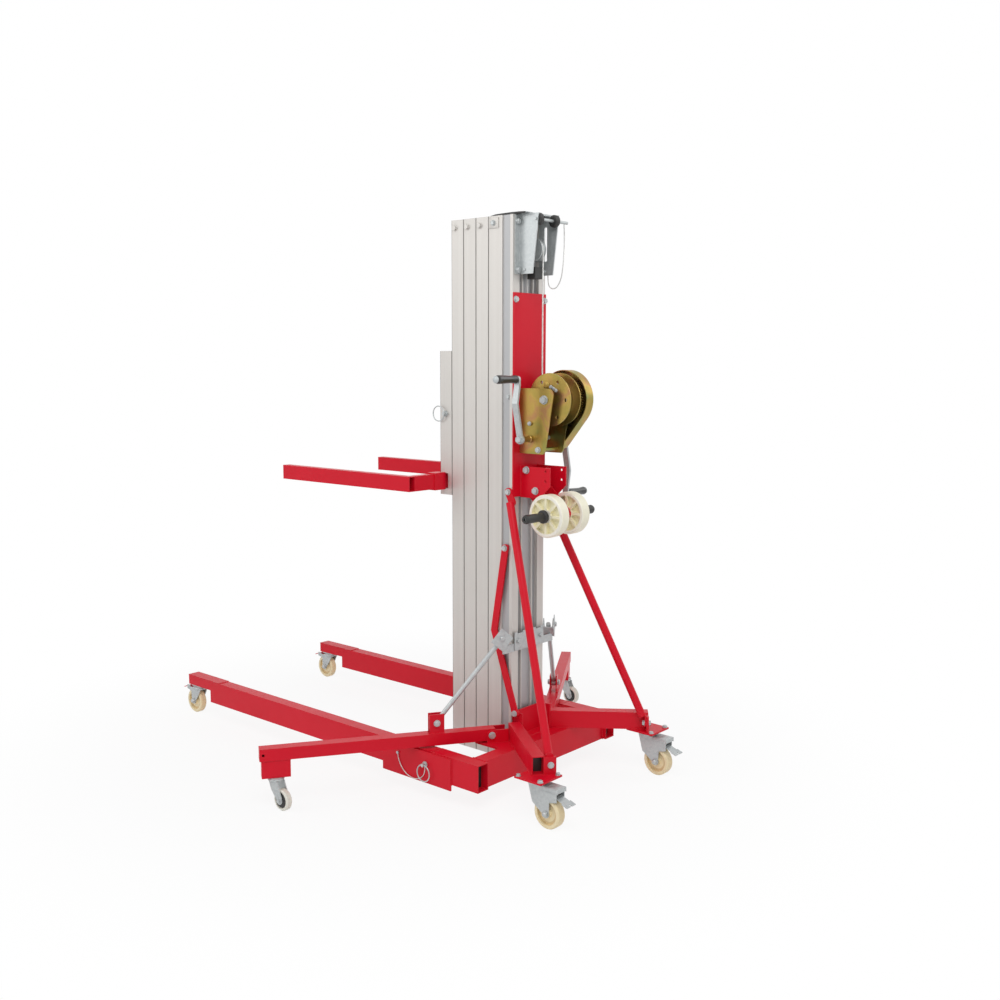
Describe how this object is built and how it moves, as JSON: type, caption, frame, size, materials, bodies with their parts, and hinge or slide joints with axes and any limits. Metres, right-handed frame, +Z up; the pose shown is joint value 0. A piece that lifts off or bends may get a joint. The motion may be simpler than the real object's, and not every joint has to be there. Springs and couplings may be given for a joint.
{
  "type": "material hoist",
  "caption": "Hand-winch material hoist: telescoping alloy mast on a red wheeled base with straddle legs, folding stabilisers and load forks.",
  "frame": {"origin": "on the floor under the middle of the footprint", "axes": "+Z up, -Y along the forks and front legs, +Y towards the winch and operator, +X to the left"},
  "size_m": [1.624, 1.9566, 1.904],
  "materials": {
    "red_paint": "powder coat",
    "mast_alloy": "anodised extrusion",
    "zinc_steel": "zinc plated",
    "gold_zinc": "yellow zinc plated",
    "black_rubber": "moulded",
    "cream_wheel": "moulded",
    "white_wheel": "moulded",
    "ivory_wheel": "moulded",
    "rope_steel": "stranded wire"
  },
  "bodies": {
    "base": {"base_tube_left": "red_paint", "base_tube_right": "red_paint", "base_cross_tube": "red_paint", "rear_leg_left": "red_paint", "rear_leg_right": "red_paint", "brace_tube_left": "red_paint", "brace_tube_right": "red_paint", "stow_bar": "red_paint", "front_leg_left": "red_paint", "front_leg_right": "red_paint", "base_column": "mast_alloy", "winch_plate": "red_paint", "winch_frame": "gold_zinc", "gear_guard": "gold_zinc", "grips_and_bumper": "black_rubber", "hoist_rope": "rope_steel", "cross_bracket": "zinc_steel", "top_bracket": "zinc_steel", "fasteners": "zinc_steel", "top_wire": "rope_steel", "pin_lanyard_left": "rope_steel", "pin_lanyard_right": "rope_steel"},
    "section_3": {"mast_section_3": "mast_alloy"},
    "section_2": {"mast_section_2": "mast_alloy"},
    "section_1": {"mast_section_1": "mast_alloy"},
    "carriage": {"carriage": "mast_alloy", "fork_frame": "red_paint"},
    "carriage_pin": {"carriage_pin": "zinc_steel"},
    "crank": {"crank_shaft": "zinc_steel", "crank_arms": "zinc_steel"},
    "lay_gear": {"lay_gear": "gold_zinc"},
    "drum": {"winch_drum": "gold_zinc"},
    "pulley": {"rope_pulley": "zinc_steel"},
    "crank_grip_left": {"crank_grip_left": "black_rubber"},
    "crank_grip_right": {"crank_grip_right": "black_rubber"},
    "top_rollers": {"top_rollers": "black_rubber"},
    "transport_wheel_left": {"transport_wheel_left": "ivory_wheel"},
    "stabiliser_left": {"stabiliser_left": "red_paint"},
    "brace_rod_left": {"brace_rod_left": "zinc_steel"},
    "leg_pin_left": {"leg_pin_left": "zinc_steel"},
    "rear_caster_left": {"rear_caster_left": "zinc_steel"},
    "rear_wheel_left": {"rear_wheel_left": "cream_wheel"},
    "rear_pedal_left": {"rear_pedal_left": "zinc_steel"},
    "front_caster_left": {"front_caster_left": "zinc_steel"},
    "front_wheel_left": {"front_wheel_left": "cream_wheel"},
    "front_pedal_left": {"front_pedal_left": "red_paint"},
    "side_caster_left": {"side_caster_left": "zinc_steel"},
    "side_wheel_left": {"side_wheel_left": "white_wheel"},
    "transport_wheel_right": {"transport_wheel_right": "ivory_wheel"},
    "stabiliser_right": {"stabiliser_right": "red_paint"},
    "brace_rod_right": {"brace_rod_right": "zinc_steel"},
    "leg_pin_right": {"leg_pin_right": "zinc_steel"},
    "rear_caster_right": {"rear_caster_right": "zinc_steel"},
    "rear_wheel_right": {"rear_wheel_right": "cream_wheel"},
    "rear_pedal_right": {"rear_pedal_right": "zinc_steel"},
    "front_caster_right": {"front_caster_right": "zinc_steel"},
    "front_wheel_right": {"front_wheel_right": "cream_wheel"},
    "front_pedal_right": {"front_pedal_right": "red_paint"},
    "side_caster_right": {"side_caster_right": "zinc_steel"},
    "side_wheel_right": {"side_wheel_right": "white_wheel"}
  },
  "joints": [
    {"name": "section_3_lift", "type": "slide", "parent": "base", "child": "section_3", "axis": [0, 0, 1], "range_m": [0, 1.45]},
    {"name": "section_2_lift", "type": "slide", "parent": "section_3", "child": "section_2", "axis": [0, 0, 1], "range_m": [0, 1.45]},
    {"name": "section_1_lift", "type": "slide", "parent": "section_2", "child": "section_1", "axis": [0, 0, 1], "range_m": [0, 1.45]},
    {"name": "carriage_lift", "type": "slide", "parent": "section_1", "child": "carriage", "axis": [0, 0, 1], "range_m": [-0.851, 0.401]},
    {"name": "carriage_pin_pull", "type": "slide", "parent": "carriage", "child": "carriage_pin", "axis": [1, 0, 0], "range_m": [0, 0.03]},
    {"name": "crank_spin", "type": "hinge", "parent": "base", "child": "crank", "pos_m": [0, 0.60097, 1.17388], "axis": [1, 0, 0], "range_deg": [-10204.1, 4801.9]},
    {"name": "lay_spin", "type": "hinge", "parent": "base", "child": "lay_gear", "pos_m": [0, 0.60097, 1.22463], "axis": [1, 0, 0], "range_deg": [-1528.9, 3247.8]},
    {"name": "drum_spin", "type": "hinge", "parent": "base", "child": "drum", "pos_m": [0, 0.65897, 1.303], "axis": [1, 0, 0], "range_deg": [-975, 459.4]},
    {"name": "pulley_spin", "type": "hinge", "parent": "base", "child": "pulley", "pos_m": [0, 0.57597, 1.79], "axis": [1, 0, 0], "range_deg": [-695.5, 1476.8]},
    {"name": "crank_grip_left_spin", "type": "hinge", "parent": "crank", "child": "crank_grip_left", "pos_m": [0, 0.60097, 1.36988], "axis": [1, 0, 0], "continuous": true},
    {"name": "crank_grip_right_spin", "type": "hinge", "parent": "crank", "child": "crank_grip_right", "pos_m": [0, 0.60097, 0.97788], "axis": [1, 0, 0], "continuous": true},
    {"name": "top_rollers_spin", "type": "hinge", "parent": "base", "child": "top_rollers", "pos_m": [0, 0.62297, 1.882], "axis": [1, 0, 0], "continuous": true},
    {"name": "transport_wheel_left_spin", "type": "hinge", "parent": "base", "child": "transport_wheel_left", "pos_m": [0, 0.68597, 0.926], "axis": [1, 0, 0], "continuous": true},
    {"name": "stabiliser_left_fold", "type": "hinge", "parent": "base", "child": "stabiliser_left", "pos_m": [0.15957, 0.52128, 0.182], "axis": [-0.5446, -0.8387, 0], "range_deg": [0, 40]},
    {"name": "brace_rod_left_turn", "type": "hinge", "parent": "stabiliser_left", "child": "brace_rod_left", "pos_m": [0.31556, 0.41997, 0.236], "axis": [-0.5446, -0.8387, 0], "range_deg": [-36, 0]},
    {"name": "leg_pin_left_pull", "type": "slide", "parent": "base", "child": "leg_pin_left", "axis": [1, 0, 0], "range_m": [0, 0.07]},
    {"name": "rear_caster_left_swivel", "type": "hinge", "parent": "base", "child": "rear_caster_left", "pos_m": [0.304, 0.84797, 0], "axis": [0, 0, 1], "continuous": true},
    {"name": "rear_wheel_left_roll", "type": "hinge", "parent": "rear_caster_left", "child": "rear_wheel_left", "pos_m": [0.304, 0.89397, 0.05], "axis": [1, 0, 0], "continuous": true},
    {"name": "rear_pedal_left_press", "type": "hinge", "parent": "rear_caster_left", "child": "rear_pedal_left", "pos_m": [0.304, 0.92547, 0.10456], "axis": [-1, 0, 0], "range_deg": [0, 15]},
    {"name": "front_caster_left_swivel", "type": "hinge", "parent": "base", "child": "front_caster_left", "pos_m": [0.346, -0.88903, 0], "axis": [0, 0, 1], "continuous": true},
    {"name": "front_wheel_left_roll", "type": "hinge", "parent": "front_caster_left", "child": "front_wheel_left", "pos_m": [0.346, -0.91703, 0.049], "axis": [1, 0, 0], "continuous": true},
    {"name": "front_pedal_left_press", "type": "hinge", "parent": "front_caster_left", "child": "front_pedal_left", "pos_m": [0.346, -0.94803, 0.10269], "axis": [1, 0, 0], "range_deg": [0, 15]},
    {"name": "side_caster_left_swivel", "type": "hinge", "parent": "stabiliser_left", "child": "side_caster_left", "pos_m": [0.75754, 0.13295, 0], "axis": [0, 0, 1], "continuous": true},
    {"name": "side_wheel_left_roll", "type": "hinge", "parent": "side_caster_left", "child": "side_wheel_left", "pos_m": [0.75754, 0.16695, 0.035], "axis": [1, 0, 0], "continuous": true},
    {"name": "transport_wheel_right_spin", "type": "hinge", "parent": "base", "child": "transport_wheel_right", "pos_m": [0, 0.68597, 0.926], "axis": [1, 0, 0], "continuous": true},
    {"name": "stabiliser_right_fold", "type": "hinge", "parent": "base", "child": "stabiliser_right", "pos_m": [-0.15957, 0.52128, 0.182], "axis": [-0.5446, 0.8387, 0], "range_deg": [0, 40]},
    {"name": "brace_rod_right_turn", "type": "hinge", "parent": "stabiliser_right", "child": "brace_rod_right", "pos_m": [-0.31556, 0.41997, 0.236], "axis": [-0.5446, 0.8387, 0], "range_deg": [-36, 0]},
    {"name": "leg_pin_right_pull", "type": "slide", "parent": "base", "child": "leg_pin_right", "axis": [-1, 0, 0], "range_m": [0, 0.07]},
    {"name": "rear_caster_right_swivel", "type": "hinge", "parent": "base", "child": "rear_caster_right", "pos_m": [-0.304, 0.84797, 0], "axis": [0, 0, 1], "continuous": true},
    {"name": "rear_wheel_right_roll", "type": "hinge", "parent": "rear_caster_right", "child": "rear_wheel_right", "pos_m": [-0.304, 0.89397, 0.05], "axis": [1, 0, 0], "continuous": true},
    {"name": "rear_pedal_right_press", "type": "hinge", "parent": "rear_caster_right", "child": "rear_pedal_right", "pos_m": [-0.304, 0.92547, 0.10456], "axis": [-1, 0, 0], "range_deg": [0, 15]},
    {"name": "front_caster_right_swivel", "type": "hinge", "parent": "base", "child": "front_caster_right", "pos_m": [-0.346, -0.88903, 0], "axis": [0, 0, 1], "continuous": true},
    {"name": "front_wheel_right_roll", "type": "hinge", "parent": "front_caster_right", "child": "front_wheel_right", "pos_m": [-0.346, -0.91703, 0.049], "axis": [1, 0, 0], "continuous": true},
    {"name": "front_pedal_right_press", "type": "hinge", "parent": "front_caster_right", "child": "front_pedal_right", "pos_m": [-0.346, -0.94803, 0.10269], "axis": [1, 0, 0], "range_deg": [0, 15]},
    {"name": "side_caster_right_swivel", "type": "hinge", "parent": "stabiliser_right", "child": "side_caster_right", "pos_m": [-0.75754, 0.13295, 0], "axis": [0, 0, 1], "continuous": true},
    {"name": "side_wheel_right_roll", "type": "hinge", "parent": "side_caster_right", "child": "side_wheel_right", "pos_m": [-0.75754, 0.16695, 0.035], "axis": [1, 0, 0], "continuous": true}
  ],
  "couplings": [
    {"joint": "lay_spin", "follows": "crank_spin", "ratio": -0.31818},
    {"joint": "drum_spin", "follows": "crank_spin", "ratio": 0.095455},
    {"joint": "carriage_lift", "follows": "crank_spin", "m_per_rad": 0.0047727},
    {"joint": "pulley_spin", "follows": "crank_spin", "ratio": -0.14463},
    {"joint": "brace_rod_left_turn", "follows": "stabiliser_left_fold", "ratio": -0.88},
    {"joint": "brace_rod_right_turn", "follows": "stabiliser_right_fold", "ratio": -0.88}
  ]
}
